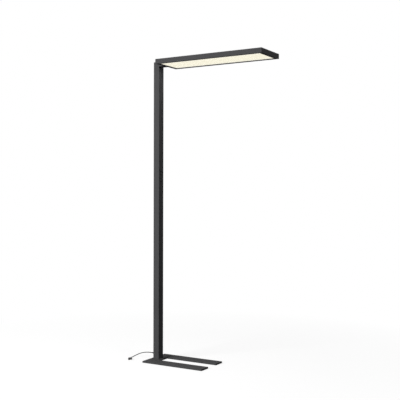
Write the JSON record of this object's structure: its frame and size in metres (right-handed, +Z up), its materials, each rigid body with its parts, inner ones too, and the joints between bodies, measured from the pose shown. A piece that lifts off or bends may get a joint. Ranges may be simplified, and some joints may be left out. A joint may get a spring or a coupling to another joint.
{
  "type": "office floor lamp",
  "caption": "Slim office floor lamp: U-shaped base plate, rectangular post with push buttons, and a long flat lit head held at one end.",
  "frame": {"origin": "on the floor, on the post's axis, at the middle of the glide pad under the post", "axes": "+Z up the post, +X along the lamp head away from the post, +Y across the lamp to its far side"},
  "size_m": [0.9938, 0.262, 1.95],
  "materials": {
    "coated_steel": "fine-textured powder coat, satin",
    "coated_aluminium": "fine-textured powder coat, satin",
    "pad_rubber": "matt",
    "screw_steel": "zinc plated",
    "button_plastic": "fine matt",
    "relief_rubber": "matt",
    "cord_sheath": "matt PVC",
    "plug_plastic": "matt",
    "pin_metal": "nickel plated",
    "opal_sheet": "opal, satin",
    "clear_acrylic": "clear acrylic",
    "circuit_board": "white solder mask",
    "white_film": "white reflective film",
    "foam": "closed-cell foam",
    "bare_aluminium": "mill finish",
    "zinc_steel": "zinc plated",
    "driver_case": "white moulding",
    "terminal_plastic": "natural",
    "inner_plastic": "black moulding",
    "switch_plastic": "black moulding"
  },
  "bodies": {
    "lamp": {"back_plate": "bare_aluminium", "base_pads": "pad_rubber", "base_plate": "coated_steel", "base_screws": "screw_steel", "board_screws": "screw_steel", "clamp_screws": "screw_steel", "control_board": "circuit_board", "control_cable": "cord_sheath", "control_carrier": "inner_plastic", "cord_clamp": "inner_plastic", "corner_keys": "bare_aluminium", "cover_screws": "screw_steel", "diffuser": "opal_sheet", "driver_bracket": "zinc_steel", "driver_screws": "screw_steel", "far_rail": "coated_aluminium", "foam_pad": "foam", "free_end_rail": "coated_aluminium", "head_backplate": "zinc_steel", "head_screws": "screw_steel", "head_terminal_block": "terminal_plastic", "lead_tail": "cord_sheath", "led_driver": "driver_case", "led_strips": "circuit_board", "light_guide": "clear_acrylic", "mains_lead": "cord_sheath", "near_rail": "coated_aluminium", "neck_backplate": "zinc_steel", "neck_block": "coated_aluminium", "neck_screws": "screw_steel", "plug_body": "plug_plastic", "plug_pins": "pin_metal", "post_cable": "cord_sheath", "post_cap": "coated_aluminium", "post_end_rail": "coated_aluminium", "post_profile": "coated_aluminium", "reflector_sheet": "white_film", "strain_relief": "relief_rubber", "switch_housings": "switch_plastic", "terminal_block": "terminal_plastic", "top_cover": "coated_aluminium", "uplight_board": "circuit_board", "uplight_diffuser": "opal_sheet"},
    "top_button": {"top_button": "button_plastic", "top_switch_plunger": "switch_plastic"},
    "upper_button": {"upper_button": "button_plastic", "upper_switch_plunger": "switch_plastic"},
    "lower_button": {"lower_button": "button_plastic", "lower_switch_plunger": "switch_plastic"},
    "bottom_button": {"bottom_button": "button_plastic", "bottom_switch_plunger": "switch_plastic"}
  },
  "joints": [
    {"name": "top_button_press", "type": "slide", "parent": "lamp", "child": "top_button", "axis": [-1, 0, 0], "range_m": [0, 0.0008], "stiffness_N_per_m": 1200},
    {"name": "upper_button_press", "type": "slide", "parent": "lamp", "child": "upper_button", "axis": [-1, 0, 0], "range_m": [0, 0.0008], "stiffness_N_per_m": 1200},
    {"name": "lower_button_press", "type": "slide", "parent": "lamp", "child": "lower_button", "axis": [-1, 0, 0], "range_m": [0, 0.0008], "stiffness_N_per_m": 1200},
    {"name": "bottom_button_press", "type": "slide", "parent": "lamp", "child": "bottom_button", "axis": [-1, 0, 0], "range_m": [0, 0.0008], "stiffness_N_per_m": 1200}
  ]
}
